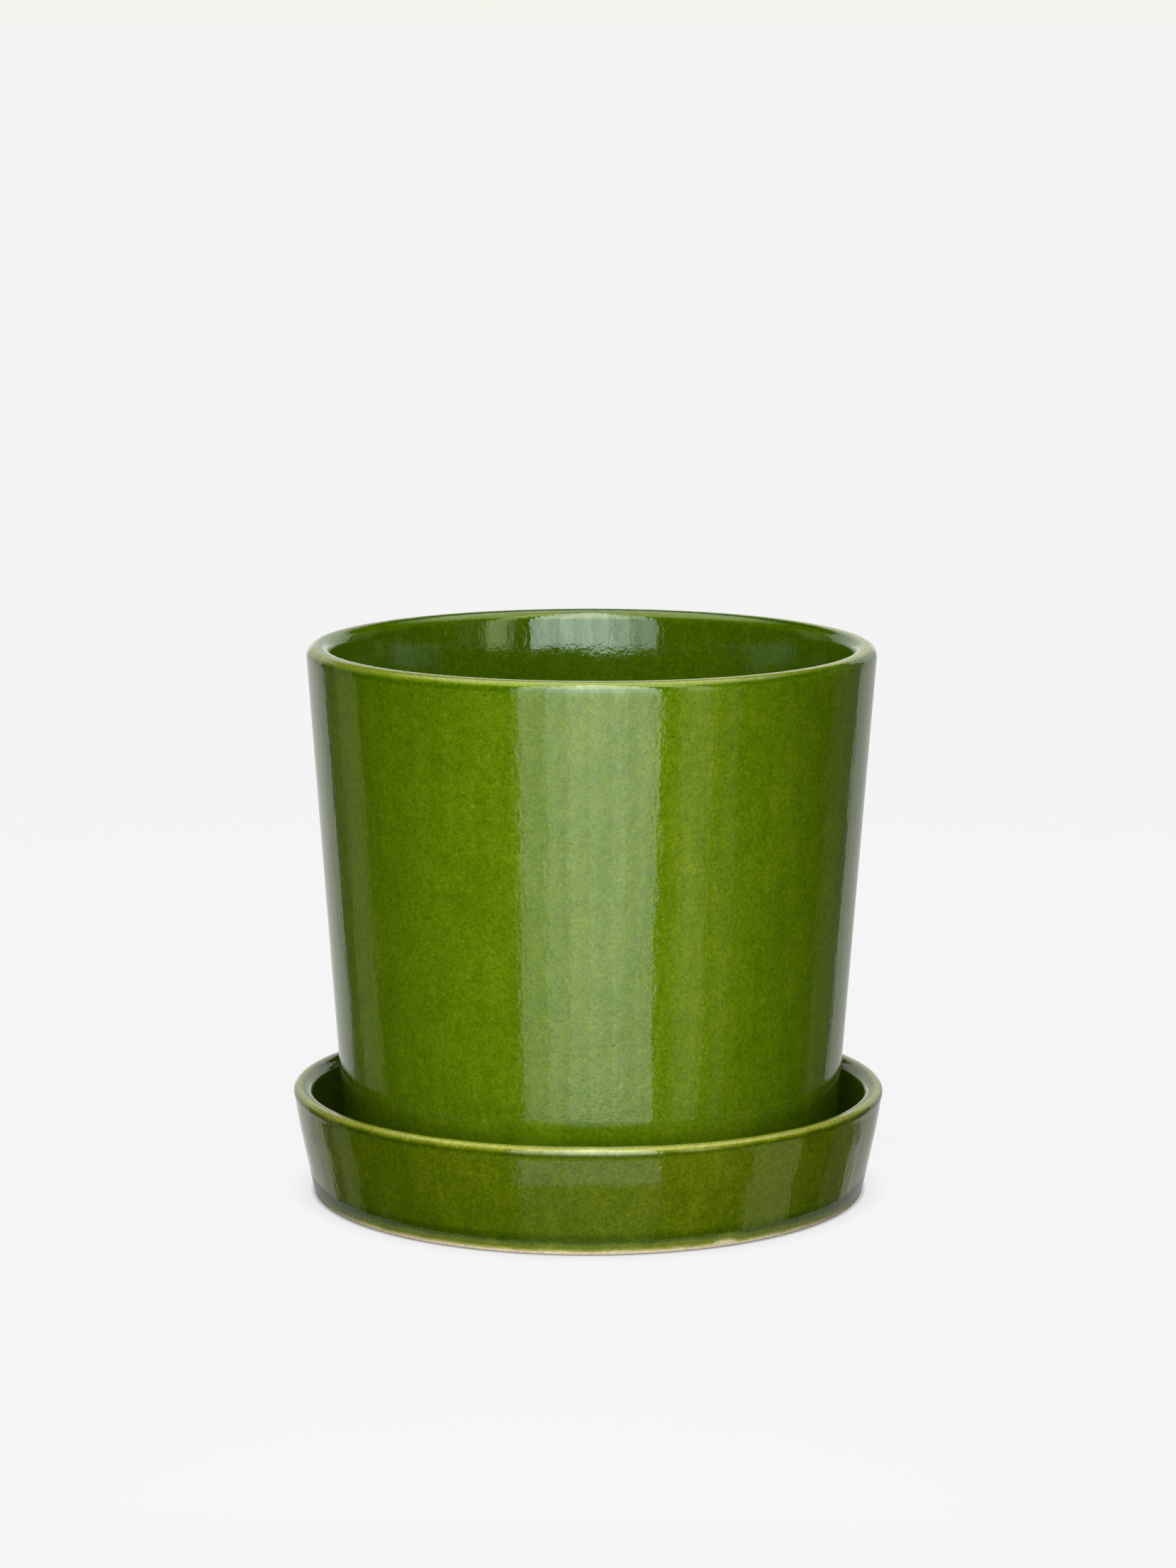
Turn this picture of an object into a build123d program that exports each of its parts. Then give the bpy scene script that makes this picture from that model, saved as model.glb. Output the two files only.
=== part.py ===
# Glazed terracotta flower pot standing on its saucer.
#
# Frame: millimetres, +Z up. The origin is the middle of the saucer's foot, on the table. Both pieces
# are turned shapes about Z, and the pot stands centred on the saucer's floor.
from build123d import *
import os

os.makedirs("parts", exist_ok=True)

# ---- pot: driving dimensions -------------------------------------------------------------------
pot_rim_diameter = 180.5  # where wall and top would meet; 180 over the rounded edge
pot_height = 169.0  # from the foot that stands on the saucer to the top of the rim
pot_foot_diameter = 155.6
pot_rim_width = 7.8
pot_rim_round = 3.2  # outer edge of the rim
pot_rim_inner_bevel = 1.2
pot_wall_at_floor = 8.6
pot_floor_thickness = 9.0  # from the foot plane to the inside floor
pot_floor_bevel = 5.0  # inside corner between wall and floor
pot_foot_bevel = 2.0  # the wall's bottom edge is cut back so that the glaze doesn't meet the saucer
pot_foot_ring_width = 12.0
pot_foot_recess = 2.0  # the base inside the foot ring is turned away by this much

drain_hole_diameter = 20.0
drain_hole_bevel = 1.2
drain_notch_count = 3
drain_notch_width = 16.0

# ---- saucer: driving dimensions ----------------------------------------------------------------
saucer_rim_diameter = 189.7  # where wall and top would meet; 188.6 over the rounded edge
saucer_height = 34.2
saucer_foot_diameter = 175.8
saucer_rim_width = 6.4
saucer_rim_round = 2.5  # outer edge of the rim
saucer_rim_inner_bevel = 1.0
saucer_wall_at_floor = 6.8
saucer_floor_thickness = 7.0  # from the table to the floor that the pot stands on
saucer_floor_bevel = 3.0  # inside corner between wall and floor
saucer_foot_bevel = 0.6
saucer_foot_ring_width = 13.0
saucer_foot_recess = 1.5

foot_ring_bevel = 0.6  # the turning tool's cut on the inner edge of each foot ring


def corner(x, z):
    """The corner of the section in hand that lies at radius x and height z."""
    return vertices().sort_by_distance((x, z))[0]


# ---- saucer: a flared dish on a turned foot ring -----------------------------------------------
saucer_foot_radius = saucer_foot_diameter / 2
saucer_rim_radius = saucer_rim_diameter / 2
saucer_flare = (saucer_rim_radius - saucer_foot_radius) / saucer_height
saucer_rim_inner = saucer_rim_radius - saucer_rim_width
saucer_ring_inner = saucer_foot_radius - saucer_foot_ring_width
saucer_well_radius = saucer_foot_radius + saucer_flare * saucer_floor_thickness - saucer_wall_at_floor

with BuildPart() as saucer:
    with BuildSketch(Plane.XZ) as saucer_section:
        with BuildLine():
            Polyline(
                (saucer_foot_radius, 0),
                (saucer_rim_radius, saucer_height),
                (saucer_rim_inner, saucer_height),
                (saucer_well_radius, saucer_floor_thickness),
                (0, saucer_floor_thickness),
                (0, saucer_foot_recess),
                (saucer_ring_inner, saucer_foot_recess),
                (saucer_ring_inner, 0),
                close=True,
            )
        make_face()
        fillet(corner(saucer_rim_radius, saucer_height), saucer_rim_round)
        chamfer(corner(saucer_rim_inner, saucer_height), saucer_rim_inner_bevel)
        chamfer(corner(saucer_well_radius, saucer_floor_thickness), saucer_floor_bevel)
        chamfer(corner(saucer_foot_radius, 0), saucer_foot_bevel)
        chamfer(corner(saucer_ring_inner, 0), foot_ring_bevel)
    revolve(axis=Axis.Z)

# ---- pot: a tapered, hollow body on a notched foot ring, with a drain hole ----------------------
pot_base = saucer_floor_thickness
pot_top = pot_base + pot_height
pot_recess_top = pot_base + pot_foot_recess
pot_inside_floor = pot_base + pot_floor_thickness
pot_foot_radius = pot_foot_diameter / 2
pot_rim_radius = pot_rim_diameter / 2
pot_flare = (pot_rim_radius - pot_foot_radius) / pot_height
pot_rim_inner = pot_rim_radius - pot_rim_width
pot_ring_inner = pot_foot_radius - pot_foot_ring_width
pot_floor_radius = pot_foot_radius + pot_flare * pot_floor_thickness - pot_wall_at_floor
drain_hole_radius = drain_hole_diameter / 2

with BuildPart() as pot:
    with BuildSketch(Plane.XZ) as pot_section:
        with BuildLine():
            Polyline(
                (pot_foot_radius, pot_base),
                (pot_rim_radius, pot_top),
                (pot_rim_inner, pot_top),
                (pot_floor_radius, pot_inside_floor),
                (drain_hole_radius, pot_inside_floor),
                (drain_hole_radius, pot_recess_top),
                (pot_ring_inner, pot_recess_top),
                (pot_ring_inner, pot_base),
                close=True,
            )
        make_face()
        fillet(corner(pot_rim_radius, pot_top), pot_rim_round)
        chamfer(corner(pot_rim_inner, pot_top), pot_rim_inner_bevel)
        chamfer(corner(pot_floor_radius, pot_inside_floor), pot_floor_bevel)
        chamfer(corner(pot_foot_radius, pot_base), pot_foot_bevel)
        chamfer(corner(pot_ring_inner, pot_base), foot_ring_bevel)
        chamfer(corner(drain_hole_radius, pot_inside_floor), drain_hole_bevel)
        chamfer(corner(drain_hole_radius, pot_recess_top), drain_hole_bevel)
    revolve(axis=Axis.Z)

    # Notches across the foot ring let water run out from under the pot into the saucer.
    with BuildSketch(Plane.XY.offset(pot_base)):
        with PolarLocations(pot_foot_radius, drain_notch_count, start_angle=90):
            Rectangle(2 * pot_foot_ring_width + 2 * foot_ring_bevel, drain_notch_width)
    extrude(amount=pot_foot_recess, mode=Mode.SUBTRACT)

saucer.part.label = "saucer"
pot.part.label = "pot"
export_step(saucer.part, "parts/saucer.step")
export_step(pot.part, "parts/pot.step")
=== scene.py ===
import math

import bmesh
import bpy
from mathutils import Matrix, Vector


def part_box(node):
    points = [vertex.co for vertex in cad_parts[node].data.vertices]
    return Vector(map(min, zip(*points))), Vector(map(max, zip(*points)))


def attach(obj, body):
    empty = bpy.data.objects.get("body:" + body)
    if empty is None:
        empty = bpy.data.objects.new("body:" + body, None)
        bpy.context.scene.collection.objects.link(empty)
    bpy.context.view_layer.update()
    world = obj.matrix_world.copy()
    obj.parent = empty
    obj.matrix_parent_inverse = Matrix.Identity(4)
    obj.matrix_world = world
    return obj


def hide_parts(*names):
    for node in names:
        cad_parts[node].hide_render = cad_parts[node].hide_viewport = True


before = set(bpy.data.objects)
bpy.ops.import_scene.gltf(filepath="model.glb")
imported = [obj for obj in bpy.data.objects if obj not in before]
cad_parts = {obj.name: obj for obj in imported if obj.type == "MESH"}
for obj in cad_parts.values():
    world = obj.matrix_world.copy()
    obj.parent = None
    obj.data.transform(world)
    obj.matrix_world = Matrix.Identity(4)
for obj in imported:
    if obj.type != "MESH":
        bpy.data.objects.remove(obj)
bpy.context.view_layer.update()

scene = bpy.context.scene

# ---- saucer ------------------------------------------------------------------------------------
# A flared dish, thrown in pale terracotta and turned to a low foot ring. It is dipped in a clear
# olive glaze and fired standing on its foot, which is wiped bare first so that it doesn't stick.
MM = 0.001  # in metres

saucer_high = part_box("saucer")[1]
pot_low, pot_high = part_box("pot")

saucer_rim_round = 2.5 * MM
saucer_lip_round = 2.8 * MM
saucer_rim_width = 6.4 * MM
saucer_foot_radius = 87.9 * MM
saucer_foot_ring_width = 13 * MM
saucer_foot_recess = 1.5 * MM
saucer_foot_edge = 0.6 * MM
saucer_foot_trim = 0.2 * MM  # turned off the foot's outer corner
saucer_heel_height = 3.3 * MM  # the wall is turned under a little more below this
saucer_heel_round = 2.5 * MM
saucer_well_round = 5 * MM
saucer_wall_at_floor = 6.8 * MM
saucer_floor_height = pot_low.z  # the pot stands on it
saucer_height = saucer_high.z
saucer_tuck_depth = 3.4 * MM  # the wall draws in a little this far under the rim
saucer_tuck_in = 0.2 * MM
saucer_tuck_round = 0.6 * MM
saucer_swell_depth = 12 * MM  # and swells a little this far under it
saucer_swell_out = 0.14 * MM
saucer_swell_round = 1.5 * MM

row_height = 2 * MM  # the walls are cut into rows about this high
columns = 288  # steps of the turning
round_steps = 8  # steps of each rounding


def turned(section, closed):
    """A shape turned about Z from the corners of its section, each (radius, height, rounding).
    A closed section makes a ring, and an open one starts and ends on the axis."""
    form = bmesh.new()
    corners = [form.verts.new((radius, 0, height)) for radius, height, rounding in section]
    sides = list(zip(corners, corners[1:]))
    if closed:
        sides.append((corners[-1], corners[0]))
    for side in sides:
        form.edges.new(side)
    for corner, (radius, height, rounding) in zip(corners, section):
        if rounding:
            bmesh.ops.bevel(
                form, geom=[corner], affect="VERTICES", offset=rounding,
                segments=round_steps, profile=0.5, material=-1,
            )
    for side in list(form.edges):
        cuts = int(side.calc_length() / row_height)
        if cuts:
            bmesh.ops.subdivide_edges(form, edges=[side], cuts=cuts)
    bmesh.ops.spin(
        form, geom=form.verts[:] + form.edges[:], cent=(0, 0, 0), axis=(0, 0, 1),
        angle=math.tau, steps=columns, use_merge=True,
    )
    bmesh.ops.remove_doubles(form, verts=form.verts, dist=0.01 * MM)
    bmesh.ops.recalc_face_normals(form, faces=form.faces)
    return form


def fired(form, lean, tip, sink, lift, wander, phase):
    """Drying and firing pull a turned piece off true. It leans to the right by lean, its rim tips
    down there by tip, sinks at the back, lifts at the front, and its wall wanders in and out."""
    height = max(vert.co.z for vert in form.verts)
    reach = max(vert.co.x for vert in form.verts)
    for vert in form.verts:
        x, y, z = vert.co
        rise = max(z, 0) / height
        turn = math.atan2(y, x)
        front = 0.5 - 0.5 * y / reach
        tilt = lift * front - tip * max(x, 0) / reach
        vert.co.z += tilt * rise * front - sink * rise * (1 - front)
        sway = math.sin(2 * turn + phase)
        sway += 0.6 * math.sin(3 * turn - 2 * phase)
        sway += 0.3 * math.sin(7 * turn)
        pull = 1 + wander * rise * (sway - 0.4) / reach
        vert.co.x = x * pull + lean * (0.6 + 0.4 * rise)
        vert.co.y = y * pull


def piece(name, form):
    """The finished mesh as an object in the row's frame."""
    mesh = bpy.data.meshes.new(name)
    form.to_mesh(mesh)
    form.free()
    mesh.shade_smooth()
    made = bpy.data.objects.new(name, mesh)
    scene.collection.objects.link(made)
    return made


class Wire:
    """A socket that carries a number or a direction. Sums on it add maths nodes."""

    def __init__(self, recipe, socket):
        self.recipe = recipe
        self.socket = socket

    def out(self, name):
        return Wire(self.recipe, self.socket.node.outputs[name])

    def maths(self, operation, first, second=0.0):
        return self.recipe.node("ShaderNodeMath", {"operation": operation}, {0: first, 1: second})

    def __add__(self, other):
        return self.maths("ADD", self, other)

    def __radd__(self, other):
        return self.maths("ADD", other, self)

    def __sub__(self, other):
        return self.maths("SUBTRACT", self, other)

    def __rsub__(self, other):
        return self.maths("SUBTRACT", other, self)

    def __mul__(self, other):
        return self.maths("MULTIPLY", self, other)

    def __rmul__(self, other):
        return self.maths("MULTIPLY", other, self)

    def __pow__(self, other):
        return self.maths("POWER", self, other)

    def exp(self):
        return self.maths("EXPONENT", self)

    def sine(self):
        return self.maths("SINE", self)

    def least(self, other):
        return self.maths("MINIMUM", self, other)

    def most(self, other):
        return self.maths("MAXIMUM", self, other)

    def rises(self, low, high):
        """0 below low and 1 above high, with a smooth step between."""
        return self.recipe.node(
            "ShaderNodeMapRange", {"interpolation_type": "SMOOTHSTEP"},
            {"Value": self, "From Min": low, "From Max": high},
        )


class Recipe:
    """The nodes of one material, or of the studio."""

    def __init__(self, owner):
        owner.use_nodes = True
        self.tree = owner.node_tree
        self.tree.nodes.clear()

    def node(self, kind, settings, inputs, output=0):
        made = self.tree.nodes.new(kind)
        for name, value in settings.items():
            setattr(made, name, value)
        for name, value in inputs.items():
            if isinstance(value, Wire):
                self.tree.links.new(value.socket, made.inputs[name])
            else:
                made.inputs[name].default_value = value
        return Wire(self, made.outputs[output]) if made.outputs else None

    def grain(self, place, size, detail=2.0, stretch=(1, 1, 1)):
        """Noise from about -1 to 1 with features of this size in metres, drawn out by stretch."""
        mapped = self.node(
            "ShaderNodeMapping", {},
            {"Vector": place, "Scale": [1 / (size * share) for share in stretch]},
        )
        return self.node(
            "ShaderNodeTexNoise", {},
            {"Vector": mapped, "Scale": 1.0, "Detail": detail, "Roughness": 0.55},
        ) * 4 - 2

    def spots(self, place, spacing, size):
        """1 on small round spots of this size strewn about this far apart, and 0 between them."""
        away = self.node(
            "ShaderNodeTexVoronoi", {"feature": "F1"}, {"Vector": place, "Scale": 1 / spacing}
        )
        return 1 - away.rises(0.3 * size / spacing, 0.6 * size / spacing)


clay_colour = (0.78, 0.66, 0.47)


def glazed_clay(
    name, seed, soaks, drift, uneven, rim, rim_reach, rim_coat, outer_wall, clay_line, nick, pooled_and_shaded,
    settled_and_shaded,
):
    """Pale clay under a clear glaze, whose coat is 1 where it lies full and 0 where the clay is bare.

    seed moves the patterns along, so that no two pieces have the same ones. soaks says how strongly
    a full coat soaks up red, green and blue, and drift how much thinner it gets per metre towards
    +X. This paints that side lighter, as painted light where the light falls more strongly. The
    surface swells and dips by about uneven.

    rim is the inner radius, outer radius and height of the rim's crest. The coat thins to rim_coat
    there, is full again rim_reach away, and gathers in a line just past that. outer_wall is the
    outside's radius at height 0, its taper, and how deep the middle of the wall lies: the coat is a
    little thicker inside, which paints the inside darker as painted shade.

    The glaze stops at the height clay_line, with a nick of (x, size, rise) in its edge at the front.
    Above that edge it pools by pooled_and_shaded, which also paints a darker band there as
    painted shade near the table, and it has run down by settled_and_shaded over the last 18 mm,
    which also paints the low wall darker as painted shade."""
    made = bpy.data.materials.new(name)
    recipe = Recipe(made)
    place = recipe.node("ShaderNodeTexCoord", {}, {}, "Object")
    place = recipe.node("ShaderNodeMapping", {}, {"Vector": place, "Location": (seed, 0, 0)})
    parts = recipe.node("ShaderNodeSeparateXYZ", {}, {"Vector": place})
    x, y, z = parts.out("X") - seed, parts.out("Y"), parts.out("Z")
    radius = (x * x + y * y) ** 0.5

    blotches = recipe.grain(place, 22 * MM, 2)
    clouds = recipe.grain(place, 8 * MM, 2)
    streaks = recipe.grain(place, 4.5 * MM, 2, (1, 1, 14))
    mottles = recipe.grain(place, 2.2 * MM, 2)
    specks = recipe.grain(place, 0.7 * MM, 2)
    dust = recipe.grain(place, 0.9 * MM, 3)
    coat = 1.01 + 0.04 * blotches + 0.06 * clouds + 0.06 * streaks + 0.1 * mottles + 0.11 * specks
    # painted light: the coat is thinner, so lighter, towards +X and in a band on the right, where the
    # light falls more strongly
    painted_light_band = x.rises(12 * MM, 30 * MM) * (1 - x.rises(36 * MM, 50 * MM))
    coat = coat - drift * x - 0.07 * painted_light_band
    iron = recipe.spots(place, 6.5 * MM, 0.7 * MM)
    bubbles = recipe.spots(place, 2.2 * MM, 0.45 * MM)
    coat = coat + 0.6 * iron - 0.3 * bubbles
    wall_radius, taper, wall_middle = outer_wall
    # painted shade: the coat is a little thicker inside the wall, so the inside shows darker
    inside = (wall_radius + taper * z - wall_middle - radius).rises(-1 * MM, 1 * MM)
    coat = coat + 0.13 * inside

    rim_inner, rim_outer, rim_height = rim
    beside = (radius - rim_outer).most(0) + (rim_inner - radius).most(0)
    away = (beside ** 2 + (z - rim_height) ** 2) ** 0.5 + 0.15 * MM * clouds
    coat = coat * (rim_coat + (1 - rim_coat) * away.rises(0.3 * rim_reach, rim_reach))
    gathered = away.rises(0.8 * rim_reach, 1.1 * rim_reach)
    gathered = gathered * (1 - away.rises(1.2 * rim_reach, 1.7 * rim_reach))
    coat = coat * (1 + 0.25 * gathered)

    nick_x, nick_size, nick_rise = nick
    from_nick = ((x - nick_x) ** 2) ** 0.5 + y.rises(-10 * MM, 0)
    bare_line = clay_line + 0.25 * MM * recipe.grain(place, 9 * MM)
    bare_line = bare_line + nick_rise * (1 - from_nick.rises(0.3 * nick_size, nick_size))
    above = z - bare_line
    # partly pooled and settled glaze, partly painted shade: the coat is thicker, so darker, in a band
    # above the heel where the wall nears the table, and low on the wall; on the heel itself it is
    # thinner, so lighter
    pool_and_shade = above.rises(2.4 * MM, 3.6 * MM) * (1 - above.rises(4.6 * MM, 7 * MM))
    heel = 1 - above.rises(2.2 * MM, 3.2 * MM)
    coat = coat * (1 + pooled_and_shaded * (pool_and_shade - heel) + settled_and_shaded * (1 - above.rises(4 * MM, 18 * MM)))
    coat = coat * z.rises(bare_line, bare_line + 1.8 * MM)

    sheen = coat.rises(0.02, 0.15)
    body = 1 + 0.27 * dust + 0.12 * (1 - sheen)  # the sandy clay, with painted bounce light from the table where it is bare
    tint = [share * body * (-depth * coat).exp() for share, depth in zip(clay_colour, soaks)]
    colour = recipe.node("ShaderNodeCombineColor", {}, dict(zip(("Red", "Green", "Blue"), tint)))
    rough = 0.85 - 0.80 * sheen

    dips = recipe.grain(place, 28 * MM, 1)
    waves = recipe.grain(place, 8.0 * MM, 1)
    ripples = recipe.grain(place, 2.0 * MM, 1, (1, 1, 2.5))
    peel = recipe.grain(place, 1.1 * MM, 2)
    pits = recipe.grain(place, 0.6 * MM, 1)
    drips = recipe.grain(place, 3.0 * MM, 1, (1, 1, 20))
    height = uneven * dips + 0.008 * MM * waves + 0.011 * MM * ripples
    height = height + 0.006 * MM * peel + 0.0015 * MM * pits + 0.012 * MM * drips
    normal = recipe.node("ShaderNodeBump", {}, {"Height": height, "Distance": 1.0, "Strength": 1.0})
    shader = recipe.node(
        "ShaderNodeBsdfPrincipled", {},
        {
            "Base Color": colour, "Roughness": rough, "Normal": normal,
            "IOR": 1.55, "Specular Tint": (0.93, 1.0, 0.85, 1.0),
        },
    )
    recipe.node("ShaderNodeOutputMaterial", {}, {"Surface": shader})
    return made


saucer_flare = (saucer_high.x - saucer_foot_radius) / (saucer_height - saucer_rim_round)
saucer_corner = saucer_foot_radius + saucer_flare * saucer_height
saucer_lip = saucer_corner - saucer_rim_width
saucer_ring_inner = saucer_foot_radius - saucer_foot_ring_width
saucer_heel = saucer_foot_radius + saucer_flare * saucer_heel_height
saucer_tuck_height = saucer_height - saucer_tuck_depth
saucer_tuck = saucer_foot_radius + saucer_flare * saucer_tuck_height - saucer_tuck_in
saucer_swell_height = saucer_height - saucer_swell_depth
saucer_swell = saucer_foot_radius + saucer_flare * saucer_swell_height + saucer_swell_out
saucer_well = saucer_foot_radius + saucer_flare * saucer_floor_height - saucer_wall_at_floor
saucer_form = turned(
    [
        (0, saucer_floor_height, 0),
        (saucer_well, saucer_floor_height, saucer_well_round),
        (saucer_lip, saucer_height, saucer_lip_round),
        (saucer_corner, saucer_height, saucer_rim_round),
        (saucer_tuck, saucer_tuck_height, saucer_tuck_round),
        (saucer_swell, saucer_swell_height, saucer_swell_round),
        (saucer_heel, saucer_heel_height, saucer_heel_round),
        (saucer_foot_radius - saucer_foot_trim, 0, saucer_foot_edge),
        (saucer_ring_inner, 0, saucer_foot_edge),
        (saucer_ring_inner, saucer_foot_recess, saucer_foot_edge),
        (0, saucer_foot_recess, 0),
    ],
    closed=False,
)
fired(saucer_form, lean=0, tip=0.85 * MM, sink=0, lift=0.6 * MM, wander=0.06 * MM, phase=0.7)
saucer = piece("glazed_saucer", saucer_form)
saucer.data.materials.append(
    glazed_clay(
        "saucer_glaze",
        seed=0.4,
        soaks=(1.96, 1.41, 5.28),
        drift=0.9,
        uneven=0.16 * MM,
        rim=(saucer_corner - 2.1 * MM, saucer_corner - 1.7 * MM, saucer_height - 0.15 * MM),
        rim_reach=1.75 * MM,
        rim_coat=0.36,
        outer_wall=(saucer_foot_radius, saucer_flare, saucer_wall_at_floor / 2),
        clay_line=0.75 * MM,
        nick=(41.8 * MM, 4.5 * MM, 0.9 * MM),
        pooled_and_shaded=0.25,
        settled_and_shaded=0.08,
    )
)
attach(saucer, "saucer")
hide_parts("saucer")

# ---- pot ---------------------------------------------------------------------------------------
# A tapered pot, thrown from the same clay, with a drain hole cut through its floor and three notches
# across its foot ring. It is glazed inside and out, and only the foot is bare. It stands loose.
pot_rim_round = 3.2 * MM
pot_lip_round = 3.4 * MM
pot_rim_width = 7.8 * MM
pot_throat_depth = 14 * MM  # the inside opens out a little from here up
pot_throat_in = 1.85 * MM
pot_throat_round = 6 * MM
pot_foot_radius = 77.8 * MM
pot_foot_bevel = 2.0 * MM
pot_foot_ring_width = 12 * MM
pot_foot_recess = 2 * MM
pot_wall_at_floor = 8.6 * MM
pot_floor_thickness = 9 * MM
pot_floor_round = 9 * MM
pot_edge = 0.6 * MM
drain_hole_radius = 10 * MM
drain_hole_round = 1.2 * MM
drain_notch_width = 16 * MM
drain_notches = 3

pot_base = pot_low.z
pot_top = pot_high.z
pot_floor_height = pot_base + pot_floor_thickness
pot_flare = (pot_high.x - pot_foot_radius) / (pot_top - pot_base - pot_rim_round)
pot_corner = pot_foot_radius + pot_flare * (pot_top - pot_base)
pot_lip = pot_corner - pot_rim_width
pot_ring_inner = pot_foot_radius - pot_foot_ring_width
pot_throat_height = pot_top - pot_throat_depth
pot_throat = pot_lip - pot_throat_in
pot_floor_radius = pot_foot_radius + pot_flare * pot_floor_thickness - pot_wall_at_floor
pot_form = turned(
    [
        (drain_hole_radius, pot_floor_height, drain_hole_round),
        (pot_floor_radius, pot_floor_height, pot_floor_round),
        (pot_throat, pot_throat_height, pot_throat_round),
        (pot_lip, pot_top, pot_lip_round),
        (pot_corner, pot_top, pot_rim_round),
        (pot_foot_radius, pot_base, pot_foot_bevel),
        (pot_ring_inner, pot_base, pot_edge),
        (pot_ring_inner, pot_base + pot_foot_recess, pot_edge),
        (drain_hole_radius, pot_base + pot_foot_recess, drain_hole_round),
    ],
    closed=True,
)
for notch in range(drain_notches):
    turn = math.tau * (notch / drain_notches + 0.25)
    across = (-math.sin(turn), math.cos(turn), 0)
    for vert in pot_form.verts:
        aside = vert.co.x * across[0] + vert.co.y * across[1]
        along = vert.co.x * math.cos(turn) + vert.co.y * math.sin(turn)
        if abs(aside) < drain_notch_width / 2 and along > pot_ring_inner / 2:
            vert.co.z = max(vert.co.z, pot_base + pot_foot_recess)
fired(pot_form, lean=1 * MM, tip=0.5 * MM, sink=0.3 * MM, lift=0, wander=0.1 * MM, phase=2.1)
pot = piece("glazed_pot", pot_form)
pot.data.materials.append(
    glazed_clay(
        "pot_glaze",
        seed=0,
        soaks=(1.83, 1.11, 5.24),
        drift=0,
        uneven=0.05 * MM,
        rim=(pot_corner - 2.8 * MM, pot_corner - 2.4 * MM, pot_top - 0.2 * MM),
        rim_reach=2.4 * MM,
        rim_coat=0.52,
        outer_wall=(pot_foot_radius - pot_flare * pot_base, pot_flare, pot_rim_width / 2),
        clay_line=pot_base + 1.5 * MM,
        nick=(-30 * MM, 2 * MM, 0.6 * MM),
        pooled_and_shaded=0.1,
        settled_and_shaded=0.2,
    )
)
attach(pot, "pot")
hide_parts("pot")

# ---- table -------------------------------------------------------------------------------------
# A plain pale table top, in two pieces: a round stand right under the saucer, which the glaze
# mirrors, and the wide top round it, in whose place the glaze mirrors the studio's low panels.
backdrop_white = 0.9
# painted shade: in the glaze's gloss the stand glows at only half the backdrop's white, for the table
# shaded round the saucer
mirrored_shade_grey = 0.45
glow_share = 0.97  # the rest is paint, which takes the lamps' own soft shadow
table_grey = (0.6, 0.6, 0.6, 1)
stand_radius = 94 * MM
table_radius = 60.0
table_steps = 128
shadow_reach = 8 * MM
crease_reach = 1.6 * MM  # the painted dark crease right under the edge of the foot


def pale(name):
    """Pale, even table paint under a glow that holds a painted soft shadow close round the foot. The
    glaze's gloss sees only the glow, dimmed to a grey that stands for painted shade.
    """
    made = bpy.data.materials.new(name)
    recipe = Recipe(made)
    paint = recipe.node("ShaderNodeBsdfDiffuse", {}, {"Color": table_grey})
    near, close = [
        recipe.node("ShaderNodeAmbientOcclusion", {"samples": 16}, {"Distance": reach}, "AO")
        for reach in (shadow_reach, crease_reach)
    ]
    # painted shadow: occlusion dims the glow close round the foot, and most in the crease under its
    # edge
    painted_shadow_factor = (0.8 + 0.2 * near) * (0.15 + 0.85 * close)
    seen = recipe.node("ShaderNodeLightPath", {}, {}, "Is Camera Ray")
    mirrored = seen.out("Is Glossy Ray")
    strength = (backdrop_white / glow_share * seen + mirrored_shade_grey * mirrored) * painted_shadow_factor
    glow = recipe.node("ShaderNodeEmission", {}, {"Color": (1, 1, 1, 1), "Strength": strength})
    shown = glow_share * seen + mirrored
    mixed = recipe.node("ShaderNodeMixShader", {}, {0: shown, 1: paint, 2: glow})
    recipe.node("ShaderNodeOutputMaterial", {}, {"Surface": mixed})
    return made


table_paint = pale("table_paint")
stand_form = bmesh.new()
bmesh.ops.create_circle(stand_form, cap_ends=True, segments=table_steps, radius=stand_radius)
stand = piece("stand", stand_form)
table_form = bmesh.new()
bmesh.ops.create_circle(table_form, cap_ends=False, segments=table_steps, radius=stand_radius)
outer = bmesh.ops.extrude_edge_only(table_form, edges=table_form.edges[:])
outer_verts = [item for item in outer["geom"] if isinstance(item, bmesh.types.BMVert)]
bmesh.ops.scale(table_form, verts=outer_verts, vec=(table_radius / stand_radius,) * 3)
table = piece("table", table_form)
table.visible_glossy = False
for surface in (stand, table):
    surface.data.materials.append(table_paint)

# ---- studio ------------------------------------------------------------------------------------
# What the glaze mirrors: a tall softbox in front, a weaker one to its right, one overhead, slim
# reflectors at the sides and a pale backdrop behind. Headings are in degrees from the front, more
# to the right, and heights in degrees above level.
studio = bpy.data.worlds.new("studio")
scene.world = studio
recipe = Recipe(studio)
view = recipe.node("ShaderNodeTexCoord", {}, {}, "Generated")
parts = recipe.node("ShaderNodeSeparateXYZ", {}, {"Vector": view})
x, y, z = parts.out("X"), parts.out("Y"), parts.out("Z")
heading = x.maths("ARCTAN2", x, 0 - y) * (180 / math.pi)
height = z.maths("ARCSINE", z) * (180 / math.pi)
all_round = 400  # past any heading, so that a panel runs on round the back
zenith = 95  # and past any height
nadir = -95


def panel(left, right, low, high, soft, strength):
    """A lit patch between two headings and two heights, with edges this soft."""
    wide = heading.rises(left - soft, left + soft) * (1 - heading.rises(right - soft, right + soft))
    tall = height.rises(low - soft, low + soft) * (1 - height.rises(high - soft, high + soft))
    return wide * tall * strength


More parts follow.
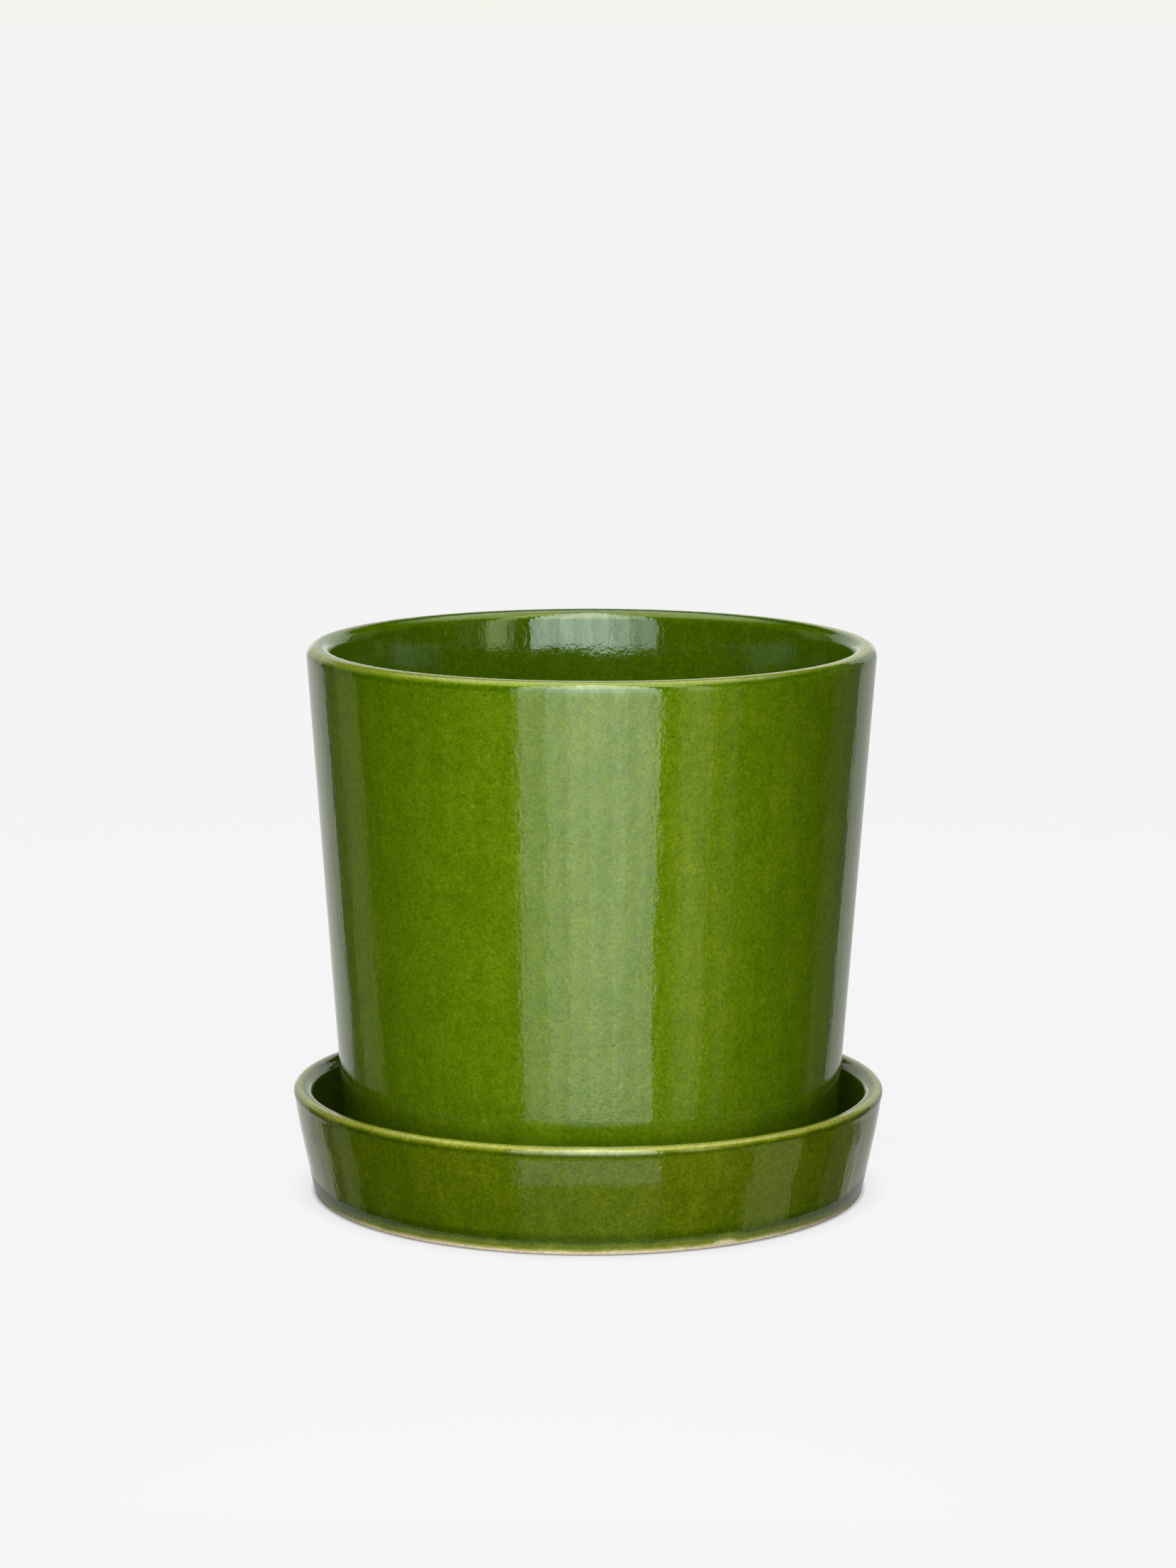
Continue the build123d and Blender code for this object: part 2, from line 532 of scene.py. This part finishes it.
across = 1.53 + 0.87 * heading.rises(-20, -17)  # the softbox's cloth has four tones side by side
across = across + 0.6 * heading.rises(-11, -7) - 0.5 * heading.rises(14, 17)
folds = 1 + 0.13 * (heading * 0.675 + 0.25).sine() + 0.08 * (heading * 1.27).sine()
folds = folds + 0.1 * (heading * 2.3 + 1).sine()
upward = (1 + 0.06 * (height + 18.5)).least(2.15) + 1.1 * height.rises(15, 40)
cloth = across * folds * upward
softbox = panel(-33, 28, -22.5, zenith, 0.4, 0.97) * heading.rises(-33, -28) * cloth
overhead = height.rises(40, 62) * 2.8

second = heading.rises(33, 42) * (1 - heading.rises(47, 53)) * height.rises(-23.5, -21.5)
second = second * (0.8 + 2.0 * height.rises(-12, 2))
third = panel(55, 63, -23, 30, 1, 0.25)

# light on the table, as the saucer's wall mirrors it
apron = panel(-29, 30, -34, -22.5, 1.5, 0.95)
apron = apron + panel(-31, 31, -48, -34, 1.5, 0.22)
low_right = panel(72, 96, -48, -24, 1, 0.55)
low_left = panel(-106, -94, -48, -30, 2, 0.15)
table_top = panel(-all_round, all_round, nadir, -46, 2, 0.5)

# slim reflectors, which show a little way in from the edges of the walls
slim_left = panel(-126, -110, -28, 30, 2, 0.32)
slim_left = slim_left + panel(-142, -126, -28, 30, 2, 0.12)
slim_right = panel(116, 138, -28, 30, 2, 0.15)

# the backdrop, which shows right at their edges and on the rims
back_left = panel(-all_round, -133, -28, -18, 1, 0.52)
back_left = back_left + panel(-all_round, -138.5, -18, 24, 0.8, 0.56)
back_left = back_left + panel(-all_round, -145, -28, 24, 4, 0.18)
back_right = panel(142, all_round, -28, -18, 1, 0.58)
back_right = back_right + panel(139, all_round, -18, 4, 1, 0.58)
back_right = back_right + panel(142, all_round, 4, 24, 2, 0.78)
low_back = panel(-all_round, -133, -48, -28, 2, 0.5)
low_back = low_back + panel(134, 144, -48, -19.5, 2, 0.5)
horizon = panel(-all_round, -166, -6.5, 5, 1.5, 0.4)
horizon = horizon + panel(166, all_round, -6.5, 5, 1.5, 0.4)

mirrored = softbox.most(overhead) + second + third + apron + low_right + low_left
mirrored = mirrored + table_top + slim_left + slim_right + back_left + back_right + low_back
mirrored = mirrored + horizon
seen = recipe.node("ShaderNodeLightPath", {}, {}, "Is Camera Ray")
gloss = seen.out("Is Glossy Ray")
fill = 0.03  # light from all round on the glaze's colour
level = seen * backdrop_white + (1 - seen) * (gloss * mirrored + (1 - gloss) * fill)

cool = gloss * panel(-80, 60, 0, 30, 6, 1)  # daylight from a high window
aside = (heading * heading) ** 0.5
cream = aside.rises(30, 33).most(1 - height.rises(-36, -33)) * (1 - aside.rises(132, 138))
warm = gloss * cream  # the room is cream at the sides and low down
light = recipe.node(
    "ShaderNodeCombineColor", {},
    {"Red": 1 - 0.12 * cool, "Green": 1, "Blue": 0.94 + 0.1 * cool - 0.45 * warm},
)
background = recipe.node("ShaderNodeBackground", {}, {"Color": light, "Strength": level})
recipe.node("ShaderNodeOutputWorld", {}, {"Surface": background})


def softlight(name, location, aim, size, power):
    """A square soft lamp that lights the glaze's colour without showing in its gloss."""
    lamp = bpy.data.lights.new(name, "AREA")
    lamp.shape = "SQUARE"
    lamp.size = size
    lamp.energy = power
    made = bpy.data.objects.new(name, lamp)
    made.location = location
    toward = aim - made.location
    made.rotation_euler = toward.to_track_quat("-Z", "Y").to_euler()
    made.visible_glossy = False
    made.visible_camera = False
    scene.collection.objects.link(made)


middle = (pot_low + pot_high) / 2
softlight("front", (-0.012, -0.34, 0.12), middle, 0.22, 0.52)
softlight("overhead", (0.0, -0.36, 0.98), middle, 0.4, 5.9)
softlight("behind", (0.0, 0.6, 0.3), middle, 0.3, 1.4)

# ---- camera ------------------------------------------------------------------------------------
# Straight in front and a little above the rim, with a long lens, so that the walls keep their taper
# and the far rim shows over the near one.
camera_tilt = 9.396  # degrees down from level
camera_data = bpy.data.cameras.new("camera")
camera_data.sensor_width = 36
camera_data.lens = 109.95
camera = bpy.data.objects.new("camera", camera_data)
camera.location = (-0.1 * MM, -1500 * MM, 378.9 * MM)
camera.rotation_euler = (math.radians(90 - camera_tilt), 0, 0)
scene.collection.objects.link(camera)
scene.camera = camera
scene.view_settings.view_transform = "Standard"
